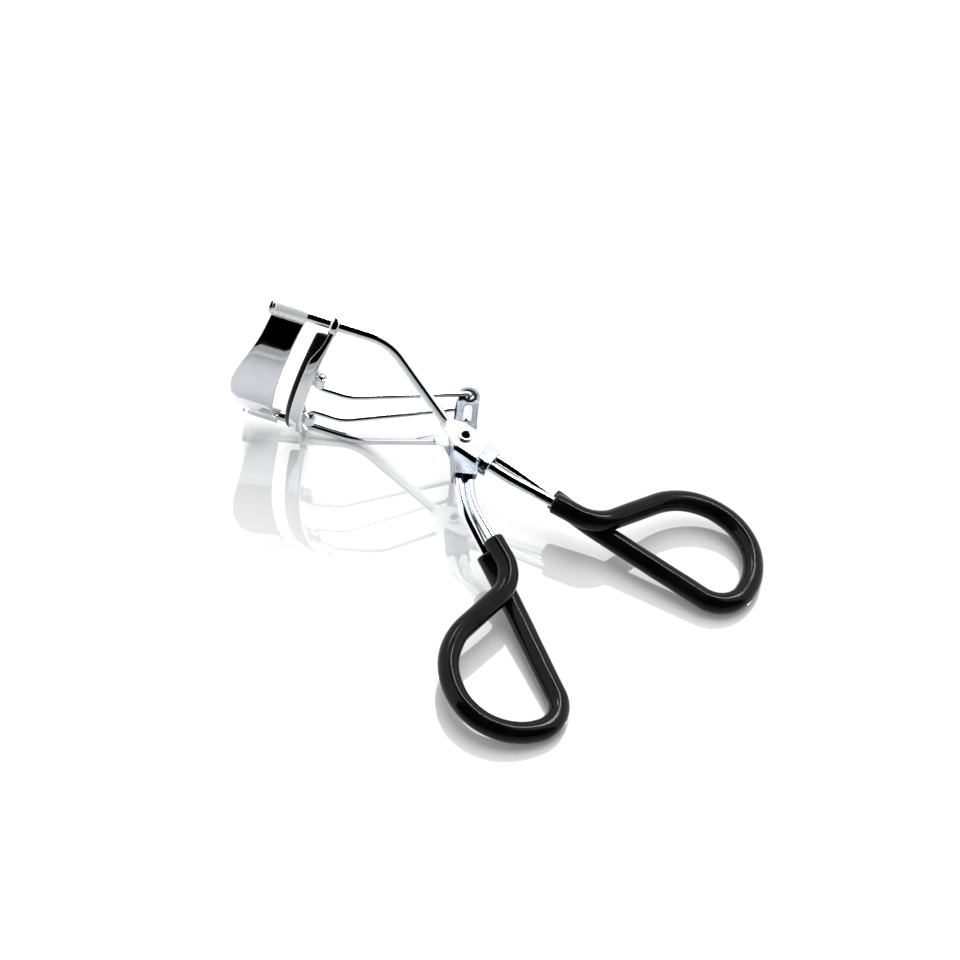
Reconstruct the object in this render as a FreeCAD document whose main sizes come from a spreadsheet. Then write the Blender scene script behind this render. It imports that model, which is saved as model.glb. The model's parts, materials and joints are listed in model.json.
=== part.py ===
import FreeCAD, Part
import math
import os

import Sketcher
from FreeCAD import Placement, Rotation, Vector

# Eyelash curler, in millimetres.
# The pivot rivet's axis is Z and passes through the origin. +X runs along the guide rods, from the
# pivot to the jaws. +Y is the side towards which the jaws bulge.

os.makedirs("parts", exist_ok=True)
doc = FreeCAD.newDocument("EyelashCurler")

SIZES = {
    # wire stock
    "wire_diameter": 2.0,
    "bail_diameter": 1.0,
    "grip_diameter": 4.0,
    "pair_gap": 0.06,
    # guide rods
    "rod_spacing": 31.0,
    "rod_line": -5.4,
    "rod_tip": 41.4,
    "rod_bend": 18.7,
    "rod_bend_radius": 9.0,
    "rod_foot_along": 4.5,
    "rod_foot_across": -1.6,
    "rod_foot_height": 3.2,
    # curved jaws
    "arc_depth": 7.25,
    "edge_lean": 0.25,
    "front_lean": 0.23,
    "plate_back": 34.05,
    "plate_front": 40.45,
    "plate_bow": 2.3,
    "plate_bow_reach": 13.0,
    "plate_thickness": 0.6,
    "sleeve_wall": 0.6,
    "sleeve_length": 6.2,
    "rod_stop_diameter": 3.0,
    "rod_stop_thickness": 0.7,
    "jaw_gap": 2.77,
    "pad_depth": 2.3,
    "pad_width": 2.4,
    "pad_seat": 1.1,
    "pad_reach": 14.1,
    "channel_depth": 2.2,
    "channel_width": 3.2,
    "channel_reach": 14.5,
    # guide eyes and bail barrels on the moving jaw
    "eye_diameter": 4.6,
    "eye_thickness": 1.7,
    "eye_clearance": 0.08,
    "barrel_diameter": 2.2,
    "barrel_length": 2.6,
    "barrel_height": 5.9,
    "barrel_along": 28.5,
    "barrel_across": 0.4,
    "barrel_clearance": 0.05,
    # push bail
    "bail_lug_along": 1.25,
    "bail_lug_across": -10.05,
    "bail_lug_height": 2.35,
    "bail_front_height": 3.65,
    "bail_straight": 6.0,
    # stamped brackets and their rivet
    "sheet_thickness": 0.6,
    "frame_leaf_height": 2.0,
    "lever_leaf_height": 1.1,
    "lug_hole_diameter": 1.9,
    "lug_width": 4.0,
    "rivet_diameter": 2.1,
    "rivet_bore": 1.5,
    "rivet_head": 2.8,
    "rivet_head_height": 0.5,
    "rivet_clearance": 0.05,
    "ferrule_height": 3.2,
    "lever_arm_angle": 105.5,
    "lever_arm_width": 4.4,
    "lever_arm_length": 7.8,
    # finger loops, in each handle's own plane: along the handle, and outward from it
    "fixed_handle_angle": 20.2,
    "lever_handle_angle": 55.4,
    "loop_end": 58.4,
    "loop_top": 19.4,
    "loop_leg": 1.55,
    "loop_shoulder": 38.7,
    "loop_neck": 29.3,
    "loop_neck_radius": 7.0,
    "loop_shoulder_radius": 12.0,
    "loop_outer_radius": 11.7,
    "loop_inner_radius": 5.8,
    "loop_leg_bend": 36.0,
    "loop_crossing": 1.6,
    "loop_sag": 0.03,
    "fixed_loop_drop": 0.0,
    "lever_loop_drop": 2.9,
    "grip_start": 20.4,
    "fixed_grip_stagger": -1.0,
    "lever_grip_stagger": 1.6,
}

sheet = doc.addObject("Spreadsheet::Sheet", "Sizes")
for row, (alias, value) in enumerate(SIZES.items(), 1):
    sheet.set(f"A{row}", alias)
    sheet.set(f"B{row}", str(value))
    sheet.setAlias(f"B{row}", alias)
doc.recompute()


def size(alias):
    return float(sheet.get(alias))


# ---------------------------------------------------------------- shared helpers

def plane_of(body, role):
    return next(f for f in body.Origin.OriginFeatures if f.Role == role)


def new_body(label):
    body = doc.addObject("PartDesign::Body", label)
    body.Label = label
    return body


def sketch_on(body, name, role, offset=0.0):
    sketch = body.newObject("Sketcher::SketchObject", name)
    sketch.AttachmentSupport = [(plane_of(body, role), "")]
    sketch.MapMode = "FlatFace"
    sketch.AttachmentOffset = Placement(Vector(0, 0, offset), Rotation())
    return sketch


def add_circle(sketch, x, y, radius_rule):
    """A circle whose radius is held by a rule on the sheet."""
    index = sketch.addGeometry(Part.Circle(Vector(x, y, 0), Vector(0, 0, 1), 1.0), False)
    rule = sketch.addConstraint(Sketcher.Constraint("Radius", index, 1.0))
    sketch.setExpression(f"Constraints[{rule}]", radius_rule)
    sketch.addConstraint(Sketcher.Constraint("DistanceX", -1, 1, index, 3, x))
    sketch.addConstraint(Sketcher.Constraint("DistanceY", -1, 1, index, 3, y))
    return index


def add_outline(sketch, corners):
    """A closed outline of straight sides. A corner is (x, y), or (x, y, radius) for a round one."""
    points = [Vector(c[0], c[1], 0) for c in corners]
    count = len(points)
    pieces = []
    for i, corner in enumerate(corners):
        here = points[i]
        radius = corner[2] if len(corner) > 2 else 0.0
        if radius == 0.0:
            pieces.append((here, None, here))
            continue
        to_last = (points[i - 1] - here).normalize()
        to_next = (points[(i + 1) % count] - here).normalize()
        half = to_last.getAngle(to_next) / 2
        reach = radius / math.tan(half)
        middle = (to_last + to_next).normalize()
        bulge = here + middle * (radius / math.sin(half) - radius)
        pieces.append((here + to_last * reach, bulge, here + to_next * reach))
    for i, (start, bulge, end) in enumerate(pieces):
        if bulge is not None:
            sketch.addGeometry(Part.Arc(start, bulge, end), False)
        sketch.addGeometry(Part.LineSegment(end, pieces[(i + 1) % count][0]), False)


def pad(body, sketch, rule, name, both_ways=False, backwards=False):
    feature = body.newObject("PartDesign::Pad", name)
    feature.Profile = sketch
    feature.setExpression("Length", rule)
    feature.Midplane = both_ways
    feature.Reversed = backwards
    sketch.Visibility = False
    return feature


def pocket(body, sketch, rule, name, both_ways=True):
    feature = body.newObject("PartDesign::Pocket", name)
    feature.Profile = sketch
    feature.setExpression("Length", rule)
    feature.Midplane = both_ways
    return feature


def bent_wire(name, corners):
    """A line of straight runs joined by tangent arcs. A corner is (point, bend radius)."""
    edges = []
    start = corners[0][0]
    for i in range(1, len(corners) - 1):
        here, radius = corners[i]
        to_last = (corners[i - 1][0] - here).normalize()
        to_next = (corners[i + 1][0] - here).normalize()
        half = to_last.getAngle(to_next) / 2
        reach = radius / math.tan(half)
        middle = (to_last + to_next).normalize()
        bulge = here + middle * (radius / math.sin(half) - radius)
        edges.append(Part.LineSegment(start, here + to_last * reach).toShape())
        edges.append(Part.Arc(here + to_last * reach, bulge, here + to_next * reach).toShape())
        start = here + to_next * reach
    edges.append(Part.LineSegment(start, corners[-1][0]).toShape())
    path = doc.addObject("Part::Feature", name)
    path.Shape = Part.Wire(edges)
    return path


def swept_tube(name, path, diameter_rule):
    """A round bar that follows a bent wire's line."""
    ring = doc.addObject("Part::Circle", name + "_ring")
    ring.setExpression("Radius", f"{diameter_rule} / 2")
    first = path.Shape.Edges[0]
    start = first.valueAt(first.FirstParameter)
    heading = first.tangentAt(first.FirstParameter)
    ring.Placement = Placement(start, Rotation(Vector(0, 0, 1), heading))
    sweep = doc.addObject("Part::Sweep", name)
    sweep.Sections = [ring]
    sweep.Spine = (path, [f"Edge{i + 1}" for i in range(len(path.Shape.Edges))])
    sweep.Solid = True
    sweep.Frenet = False
    return sweep


def combine(kind, name, base, tool):
    feature = doc.addObject(f"Part::{kind}", name)
    feature.Base = base
    feature.Tool = tool
    return feature


HALF_SPACING = size("rod_spacing") / 2
WIRE_RADIUS = size("wire_diameter") / 2
ROD_LINE = size("rod_line")
nodes = {}


# ---------------------------------------------------------------- arcs shared by the two jaws

ARC_RADIUS = (HALF_SPACING ** 2 + size("arc_depth") ** 2) / (2 * size("arc_depth"))
ARC_CENTRE = ROD_LINE + size("arc_depth") - ARC_RADIUS


def arc_band(body, name, width, reach, start, length_rule):
    """A curved bar, parallel to X, whose middle line is the jaws' arc."""
    outer = ARC_RADIUS + width / 2
    inner = ARC_RADIUS - width / 2
    turn = math.asin(reach / ARC_RADIUS)

    def spot(radius, angle):
        return Vector(ARC_CENTRE + radius * math.cos(angle), radius * math.sin(angle), 0)

    sketch = sketch_on(body, name + "_sketch", "YZ_Plane", start)
    sketch.addGeometry(Part.Arc(spot(outer, -turn), spot(outer, 0), spot(outer, turn)), False)
    sketch.addGeometry(Part.LineSegment(spot(outer, turn), spot(inner, turn)), False)
    sketch.addGeometry(Part.Arc(spot(inner, turn), spot(inner, 0), spot(inner, -turn)), False)
    sketch.addGeometry(Part.LineSegment(spot(inner, -turn), spot(outer, -turn)), False)
    return pad(body, sketch, length_rule, name)


def leaning_slab(name, back, front):
    """Keeps what lies between two edges that lean forward with distance from the rods."""
    near = ROD_LINE - 3.0
    far = ROD_LINE + size("arc_depth") + 5.0

    def edge(start, across):
        return (start + size("edge_lean") * (across - ROD_LINE), across)

    body = new_body(name)
    sketch = sketch_on(body, name + "_sketch", "XY_Plane")
    corners = [edge(back, near), edge(front, near), edge(front, far), edge(back, far)]
    add_outline(sketch, corners)
    pad(body, sketch, "Sizes.rod_spacing * 1.2", name + "_pad", both_ways=True)
    return body


# ---------------------------------------------------------------- stamped brackets

def handle_point(side, along, outward, height):
    """A point given in a handle's own plane, in the curler's frame."""
    angle = math.radians(size(f"{side}_handle_angle"))
    flip = -1.0 if side == "fixed" else 1.0
    x = -along * math.cos(angle) + flip * outward * math.sin(angle)
    y = along * math.sin(angle) + flip * outward * math.cos(angle)
    return Vector(x, y, height)


def loop_point(side, along, outward, lift=0.0):
    """A point on a finger loop. Each loop's plane sags a little below the rivet's."""
    spot = handle_point(side, along, outward, 0)
    spot.z = lift - size(f"{side}_loop_drop") - size("loop_sag") * spot.y
    return spot


def make_frame_bracket():
    """Two leaves either side of the lever, closed by a ferrule round the handle's wires."""
    body = new_body("frame_bracket_blank")
    leaf = size("frame_leaf_height")
    thickness = size("sheet_thickness")
    outline = [(-5.4, -0.9, 0.8), (-5.4, 1.2, 0.8), (-1.6, 2.6, 2.0), (6.9, 2.6, 0.4)]
    outline += [(6.9, -2.5, 0.4), (4.7, -2.9, 0.5), (-0.6, -2.9, 1.5), (-2.7, -1.7, 1.0)]
    corners = []
    for along, outward, radius in outline:
        spot = handle_point("fixed", along, outward, 0)
        corners.append((spot.x, spot.y, radius))
    sketch = sketch_on(body, "frame_bracket_outline", "XY_Plane")
    add_outline(sketch, corners)
    block = pad(body, sketch, "2 * (Sizes.frame_leaf_height + Sizes.sheet_thickness)",
                "frame_bracket_block", both_ways=True)
    # the ferrule is lower than the leaves
    for end, sign in (("upper", 1), ("lower", -1)):
        step = sketch_on(body, f"frame_bracket_step_{end}_sketch", "XY_Plane",
                         sign * (leaf + thickness))
        near = [handle_point("fixed", 4.9, 6.0, 0), handle_point("fixed", 8.0, 6.0, 0)]
        near += [handle_point("fixed", 8.0, -6.0, 0), handle_point("fixed", 4.9, -6.0, 0)]
        add_outline(step, [(p.x, p.y) for p in near])
        cut = pocket(body, step, "2 * (Sizes.frame_leaf_height + Sizes.sheet_thickness)"
                     " - Sizes.ferrule_height", f"frame_bracket_step_{end}")
    # room for the lever between the leaves
    room = sketch_on(body, "frame_bracket_room_sketch", "XY_Plane")
    near = [handle_point("fixed", -7.0, 7.0, 0), handle_point("fixed", 3.7, 7.0, 0)]
    near += [handle_point("fixed", 3.8, 0.2, 0), handle_point("fixed", 6.7, -2.5, 0)]
    near += [handle_point("fixed", 6.7, -7.0, 0), handle_point("fixed", -7.0, -7.0, 0)]
    add_outline(room, [(p.x, p.y) for p in near])
    pocket(body, room, "2 * Sizes.frame_leaf_height", "frame_bracket_room")
    bore = sketch_on(body, "frame_bracket_bore_sketch", "XY_Plane")
    add_circle(bore, 0.0, 0.0, "Sizes.rivet_diameter / 2")
    pocket(body, bore, "10", "frame_bracket_bore")
    return body


def lever_arm_point(along, side=0.0):
    """A point on the lever bracket's arm, in which the lever's two wires are held."""
    angle = math.radians(size("lever_arm_angle"))
    return Vector(math.cos(angle), math.sin(angle), 0) * along + Vector(
        -math.sin(angle), math.cos(angle), 0) * side


def make_lever_bracket():
    """A channel on the rivet, with a forked lug for the push bail at one end."""
    body = new_body("lever_bracket_blank")
    lug = Vector(size("bail_lug_along"), size("bail_lug_across"), 0)
    line = lug * (-1.0 / lug.Length)
    across = Vector(-line.y, line.x, 0)

    def spot(along, side, radius=0.0):
        place = line * along + across * side
        return (place.x, place.y, radius)

    def arm(along, side, radius=0.0):
        place = lever_arm_point(along, side)
        return (place.x, place.y, radius)

    half_lug = size("lug_width") / 2
    half_arm = size("lever_arm_width") / 2
    reach = lug.Length
    end = size("lever_arm_length")
    outline = [spot(-reach - half_lug, -half_lug, half_lug - 0.05)]
    outline += [spot(-reach - half_lug, half_lug, half_lug - 0.05), spot(-4.6, half_lug, 1.0)]
    outline += [spot(-1.5, half_arm, 1.5), arm(2.0, half_arm, 3.0), arm(end, half_arm, 0.3)]
    outline += [arm(end, -half_arm, 0.3), arm(2.0, -half_arm, 3.0), spot(-1.5, -half_arm, 1.5)]
    outline += [spot(-4.6, -half_lug, 1.0)]
    sketch = sketch_on(body, "lever_bracket_outline", "XY_Plane")
    add_outline(sketch, outline)
    pad(body, sketch, "2 * (Sizes.lever_leaf_height + Sizes.sheet_thickness)",
        "lever_bracket_block", both_ways=True)
    room = sketch_on(body, "lever_bracket_room_sketch", "XY_Plane")
    inside = [spot(-14.0, -4.0), spot(-14.0, 4.0), spot(-4.4, 4.0), spot(-4.4, -4.0)]
    add_outline(room, [(c[0], c[1]) for c in inside])
    pocket(body, room, "2 * Sizes.lever_leaf_height", "lever_bracket_fork")
    bore = sketch_on(body, "lever_bracket_bore_sketch", "XY_Plane")
    add_circle(bore, 0.0, 0.0, "Sizes.rivet_diameter / 2 + Sizes.rivet_clearance")
    pocket(body, bore, "10", "lever_bracket_bore")
    eye = sketch_on(body, "lever_bracket_eye_sketch", "XY_Plane")
    add_circle(eye, lug.x, lug.y, "Sizes.lug_hole_diameter / 2")
    pocket(body, eye, "10", "lever_bracket_eye")
    return body


def make_pivot_rivet():
    """A hollow rivet with a flared head at each end."""
    body = new_body("pivot_rivet")
    shank = sketch_on(body, "pivot_rivet_shank_sketch", "XY_Plane")
    add_circle(shank, 0.0, 0.0, "Sizes.rivet_diameter / 2")
    pad(body, shank, "2 * (Sizes.frame_leaf_height + Sizes.sheet_thickness)",
        "pivot_rivet_shank", both_ways=True)
    top = size("frame_leaf_height") + size("sheet_thickness")
    for end, sign in (("upper", 1), ("lower", -1)):
        head = sketch_on(body, f"pivot_rivet_head_{end}_sketch", "XY_Plane", sign * top)
        add_circle(head, 0.0, 0.0, "Sizes.rivet_head / 2")
        pad(body, head, "Sizes.rivet_head_height", f"pivot_rivet_head_{end}", backwards=sign < 0)
    bore = sketch_on(body, "pivot_rivet_bore_sketch", "XY_Plane")
    add_circle(bore, 0.0, 0.0, "Sizes.rivet_bore / 2")
    pocket(body, bore, "12", "pivot_rivet_bore")
    doc.recompute()
    bored = body.Tip
    rims = []
    for number, edge in enumerate(bored.Shape.Edges, 1):
        if edge.Curve.TypeId != "Part::GeomCircle":
            continue
        at_head_top = abs(abs(edge.Curve.Center.z) - top - size("rivet_head_height")) < 0.01
        if at_head_top:
            rims.append(f"Edge{number}")
    fillet = body.newObject("PartDesign::Fillet", "pivot_rivet_rolled_rims")
    fillet.Base = (bored, rims)
    fillet.Radius = 0.2
    return body


# ---------------------------------------------------------------- handles with finger loops

def pair_starts(side):
    """Where the handle's two wires leave the bracket, and where they take up the handle's line."""
    if side == "fixed":
        return handle_point("fixed", 5.95, 0.3, 0), handle_point("fixed", 11.0, 0.4, 0)
    return lever_arm_point(3.8), lever_arm_point(12.6) - Vector(0, 0, 0.7)


def side_step(first, second, side, outward):
    """A point beside the pair's middle line: half a wire pair towards the loop's bulge, or away."""
    direction = (second - first).normalize()
    across = Vector(-direction.y, direction.x, 0)
    bulge = handle_point(side, 0, 1, 0)
    if across.dot(bulge) < 0:
        across = -across
    return across * (outward * (WIRE_RADIUS + size("pair_gap") / 2))


def loop_corners(side):
    """The wire's corners, from the end that forms the curved leg to the end that forms the straight
    leg. The curved leg crosses over the straight one at the neck."""
    first, second = pair_starts(side)
    lift = size("loop_crossing")
    neck, leg, top = size("loop_neck"), size("loop_leg"), size("loop_top")
    end, shoulder = size("loop_end"), size("loop_shoulder")
    pair_bend = 14.0
    step_first = side_step(first, second, side, 1)
    over = loop_point(side, neck, leg - 1.1, lift)
    under = loop_point(side, neck, leg + 0.4, -lift)
    step_second = (step_first + side_step(second, under, side, 1)) * 0.5
    return [
        (first - step_first, 0),
        (second - step_second, pair_bend),
        (over, size("loop_neck_radius")),
        (loop_point(side, shoulder, top), size("loop_shoulder_radius")),
        (loop_point(side, end, top), size("loop_outer_radius")),
        (loop_point(side, end, leg), size("loop_inner_radius")),
        (under, size("loop_leg_bend")),
        (second + step_second, pair_bend),
        (first + step_first, 0),
    ]


def bored_for_pair(side, label, blank):
    """Cuts the bores that hold the two ends of a handle's wire."""
    runs = doc.getObject(f"{side}_loop_line").Shape.Edges
    for run, name in ((runs[0], f"{label}_first_bored"), (runs[-1], label)):
        ends = [vertex.Point for vertex in run.Vertexes]
        ends.sort(key=lambda point: point.Length)
        bore = doc.addObject("Part::Cylinder", name + "_tool")
        bore.setExpression("Radius", "Sizes.wire_diameter / 2")
        bore.Height = run.Length
        bore.Placement = Placement(ends[0], Rotation(Vector(0, 0, 1), ends[1] - ends[0]))
        blank = combine("Cut", name, blank, bore)
    return blank


def make_handle(side, wire_label, grip_label):
    corners = loop_corners(side)
    line = bent_wire(f"{side}_loop_line", corners)
    wire = swept_tube(wire_label, line, "Sizes.wire_diameter")
    # the grip is one sleeve: its curved half and its straight half meet at the loop's far end
    outer_bend = size("loop_top") - size("loop_outer_radius")
    inner_bend = size("loop_leg") + size("loop_inner_radius")
    meeting = loop_point(side, size("loop_end"), (outer_bend + inner_bend) / 2)
    start = size("grip_start")

    def between(a, b, along):
        reach_a = -a.dot(handle_point(side, -1, 0, 0))
        reach_b = -b.dot(handle_point(side, -1, 0, 0))
        share = (along - reach_a) / (reach_b - reach_a)
        return a + (b - a) * share

    over_start = between(corners[1][0], corners[2][0], start)
    under_start = between(corners[7][0], corners[6][0], start + size(f"{side}_grip_stagger"))
    over = bent_wire(f"{side}_grip_over_line", [(over_start, 0)] + corners[2:5] + [(meeting, 0)])
    under = bent_wire(f"{side}_grip_under_line", [(meeting, 0)] + corners[5:7] + [(under_start, 0)])
    over_tube = swept_tube(f"{side}_grip_over", over, "Sizes.grip_diameter")
    under_tube = swept_tube(f"{side}_grip_under", under, "Sizes.grip_diameter")
    sleeve = combine("Fuse", f"{side}_grip_sleeve", over_tube, under_tube)
    grip = combine("Cut", grip_label, sleeve, wire)
    nodes[wire_label] = wire
    nodes[grip_label] = grip


# ---------------------------------------------------------------- guide rods

def make_guide_rod(label, sign, bracket):
    tip = Vector(size("rod_tip"), ROD_LINE, sign * HALF_SPACING)
    bend = Vector(size("rod_bend"), ROD_LINE, sign * HALF_SPACING)
    foot = Vector(size("rod_foot_along"), size("rod_foot_across"), sign * size("rod_foot_height"))
    line = bent_wire(label + "_line", [(tip, 0), (bend, size("rod_bend_radius")), (foot, 0)])
    bar = swept_tube(label + "_bar", line, "Sizes.wire_diameter")
    nodes[label] = combine("Cut", label, bar, bracket)


def make_rod_stop(label, sign):
    """A small collar pressed on the rod's tip, which keeps the jaw plate on."""
    body = new_body(label)
    start = size("rod_tip") - size("rod_stop_thickness")
    ring = sketch_on(body, label + "_sketch", "YZ_Plane", start)
    add_circle(ring, ROD_LINE, sign * HALF_SPACING, "Sizes.rod_stop_diameter / 2")
    add_circle(ring, ROD_LINE, sign * HALF_SPACING, "Sizes.wire_diameter / 2")
    pad(body, ring, "Sizes.rod_stop_thickness", label + "_ring")
    nodes[label] = body


# ---------------------------------------------------------------- fixed jaw plate

def front_edge(across_jaw):
    """How far forward the plate reaches at a place across the jaw: most at its middle."""
    height = ARC_CENTRE + math.sqrt(ARC_RADIUS ** 2 - across_jaw ** 2) - ROD_LINE
    along = size("plate_front") + size("front_lean") * height
    share = min(1.0, abs(across_jaw) / size("plate_bow_reach"))
    return along + size("plate_bow") * (0.5 + 0.5 * math.cos(math.pi * share))


def bowed_front():
    """Keeps what lies behind the plate's bowed front edge."""
    body = new_body("jaw_plate_front_edge")
    sketch = sketch_on(body, "jaw_plate_front_sketch", "XZ_Plane")
    steps = 12
    places = [HALF_SPACING * (2 * i / steps - 1) for i in range(steps + 1)]
    edge = Part.BSplineCurve()
    edge.interpolate([Vector(front_edge(z), z, 0) for z in places])
    behind = size("plate_back") - 5.0
    low, high = edge.StartPoint, edge.EndPoint
    sketch.addGeometry(edge, False)
    sketch.addGeometry(Part.LineSegment(high, Vector(behind, high.y, 0)), False)
    sketch.addGeometry(Part.LineSegment(Vector(behind, high.y, 0), Vector(behind, low.y, 0)), False)
    sketch.addGeometry(Part.LineSegment(Vector(behind, low.y, 0), low), False)
    pad(body, sketch, "Sizes.rod_spacing * 2", "jaw_plate_front_pad", both_ways=True)
    return body


def make_jaw_plate():
    """A curved sheet with its two sides rolled round the guide rods."""
    band = new_body("jaw_plate_band")
    reach = HALF_SPACING - 0.6
    arc_band(band, "jaw_plate_arc", size("plate_thickness"), reach, size("plate_back") - 2.0,
             "Sizes.plate_front - Sizes.plate_back + 9")
    slab = leaning_slab("jaw_plate_back_edge", size("plate_back"), size("plate_front") + 9.0)
    trimmed = combine("Common", "jaw_plate_trimmed", band, slab)
    sheet_part = combine("Common", "jaw_plate_sheet", trimmed, bowed_front())
    sleeves = new_body("jaw_plate_sleeves")
    start = size("plate_back") + 0.1
    rolls = sketch_on(sleeves, "jaw_plate_sleeve_sketch", "YZ_Plane", start)
    for sign in (1, -1):
        add_circle(rolls, ROD_LINE, sign * HALF_SPACING,
                   "Sizes.wire_diameter / 2 + Sizes.sleeve_wall")
    pad(sleeves, rolls, "Sizes.sleeve_length", "jaw_plate_sleeve_pad")
    joined = combine("Fuse", "jaw_plate_joined", sheet_part, sleeves)
    bores = []
    for sign, end in ((1, "upper"), (-1, "lower")):
        bore = doc.addObject("Part::Cylinder", f"jaw_plate_bore_{end}")
        bore.setExpression("Radius", "Sizes.wire_diameter / 2")
        bore.setExpression("Height", "Sizes.rod_tip - Sizes.rod_bend")
        bore.Placement = Placement(Vector(size("rod_bend"), ROD_LINE, sign * HALF_SPACING),
                                   Rotation(Vector(0, 0, 1), Vector(1, 0, 0)))
        bores.append(bore)
    first = combine("Cut", "jaw_plate_bored_once", joined, bores[0])
    nodes["fixed_jaw_plate"] = combine("Cut", "fixed_jaw_plate", first, bores[1])


# ---------------------------------------------------------------- moving jaw

def make_moving_jaw():
    pad_front = size("plate_back") - size("jaw_gap")
    channel_front = pad_front - (size("pad_depth") - size("pad_seat"))
    channel_back = channel_front - size("channel_depth")
    seat_back = channel_front - size("pad_seat")

    pad_band = new_body("silicone_pad_band")
    arc_band(pad_band, "silicone_pad_arc", size("pad_width"), size("pad_reach"), seat_back - 3.0,
             "Sizes.pad_depth + 8")
    pad_slab = leaning_slab("silicone_pad_edges", seat_back, pad_front)
    silicone = combine("Common", "silicone_pad_blank", pad_band, pad_slab)

    bar = new_body("jaw_channel_band")
    arc_band(bar, "jaw_channel_arc", size("channel_width"), size("channel_reach"),
             channel_back - 3.0, "Sizes.channel_depth + 8")
    bar_slab = leaning_slab("jaw_channel_edges", channel_back, channel_front)
    channel = combine("Common", "jaw_channel_blank", bar, bar_slab)
    channel = combine("Cut", "jaw_channel_seated", channel, silicone)

    eye_centre = channel_back + size("channel_depth") / 2
    for sign, end in ((1, "upper"), (-1, "lower")):
        eye = new_body(f"{end}_guide_eye")
        ring = sketch_on(eye, f"{end}_guide_eye_sketch", "YZ_Plane",
                         eye_centre - size("eye_thickness") / 2)
        add_circle(ring, ROD_LINE, sign * HALF_SPACING, "Sizes.eye_diameter / 2")
        add_circle(ring, ROD_LINE, sign * HALF_SPACING,
                   "Sizes.wire_diameter / 2 + Sizes.eye_clearance")
        pad(eye, ring, "Sizes.eye_thickness", f"{end}_guide_eye_ring")
        nodes[f"{end}_guide_eye"] = eye

        barrel = new_body(f"{end}_bail_barrel")
        height = sign * size("barrel_height") - size("barrel_length") / 2
        tube = sketch_on(barrel, f"{end}_bail_barrel_sketch", "XY_Plane", height)
        across = size("barrel_across")
        add_circle(tube, size("barrel_along"), across, "Sizes.barrel_diameter / 2")
        add_circle(tube, size("barrel_along"), across,
                   "Sizes.bail_diameter / 2 + Sizes.barrel_clearance")
        pad(barrel, tube, "Sizes.barrel_length", f"{end}_bail_barrel_tube")
        nodes[f"{end}_bail_barrel"] = barrel
        # the eye and the barrel are brazed into the channel, so it is cut to fit round them
        channel = combine("Cut", f"jaw_channel_{end}_eye_seat", channel, eye)
        silicone = combine("Cut", f"silicone_pad_{end}_eye_room", silicone, eye)
        channel = combine("Cut", f"jaw_channel_{end}_barrel_seat", channel, barrel)
    nodes["jaw_channel"] = channel
    nodes["silicone_pad"] = silicone


# ---------------------------------------------------------------- push bail

def make_push_bail():
    """One thin wire: a hook in each barrel, and its middle straight through the lever's lug."""
    barrel = Vector(size("barrel_along"), size("barrel_across"), 0)
    lug = Vector(size("bail_lug_along"), size("bail_lug_across"), 0)
    knee = barrel - Vector(size("bail_straight"), 0, 0)
    tip = size("barrel_height") + size("barrel_length") / 2 + 0.5
    front, back = size("bail_front_height"), size("bail_lug_height")
    one_side = [(barrel + Vector(0, 0, tip), 0), (barrel + Vector(0, 0, front), 0.8)]
    one_side += [(knee + Vector(0, 0, front), 7.0), (lug + Vector(0, 0, back), 0.7)]
    other_side = [(Vector(p.x, p.y, -p.z), radius) for p, radius in reversed(one_side)]
    line = bent_wire("push_bail_line", one_side + other_side)
    nodes["push_bail"] = swept_tube("push_bail", line, "Sizes.bail_diameter")


# ---------------------------------------------------------------- assembly

make_handle("fixed", "fixed_loop_wire", "fixed_loop_grip")
make_handle("lever", "lever_loop_wire", "lever_loop_grip")
frame_blank = make_frame_bracket()
lever_blank = make_lever_bracket()
nodes["frame_bracket"] = bored_for_pair("fixed", "frame_bracket", frame_blank)
nodes["lever_bracket"] = bored_for_pair("lever", "lever_bracket", lever_blank)
nodes["pivot_rivet"] = make_pivot_rivet()
make_guide_rod("upper_guide_rod", 1, frame_blank)
make_guide_rod("lower_guide_rod", -1, frame_blank)
make_rod_stop("upper_rod_stop", 1)
make_rod_stop("lower_rod_stop", -1)
make_jaw_plate()
make_moving_jaw()
make_push_bail()
doc.recompute()

for feature in doc.Objects:
    if "Invalid" in feature.State or "Error" in feature.State:
        raise RuntimeError(f"{feature.Label} did not build: {feature.State}")
for name, feature in nodes.items():
    feature.Label = name
    if feature.Shape.isNull() or not feature.Shape.isValid():
        raise RuntimeError(f"{name} has no valid shape")
for name, feature in nodes.items():
    feature.Shape.exportStep(f"parts/{name}.step")
    box = feature.Shape.BoundBox
    print(f"{name}: {len(feature.Shape.Solids)} solid, {feature.Shape.Volume:.1f} mm3,"
          f" x {box.XMin:.1f}..{box.XMax:.1f}, y {box.YMin:.1f}..{box.YMax:.1f},"
          f" z {box.ZMin:.1f}..{box.ZMax:.1f}")
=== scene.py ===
import json
import math
import random

import bmesh
import bpy
from mathutils import Matrix, Vector

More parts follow.
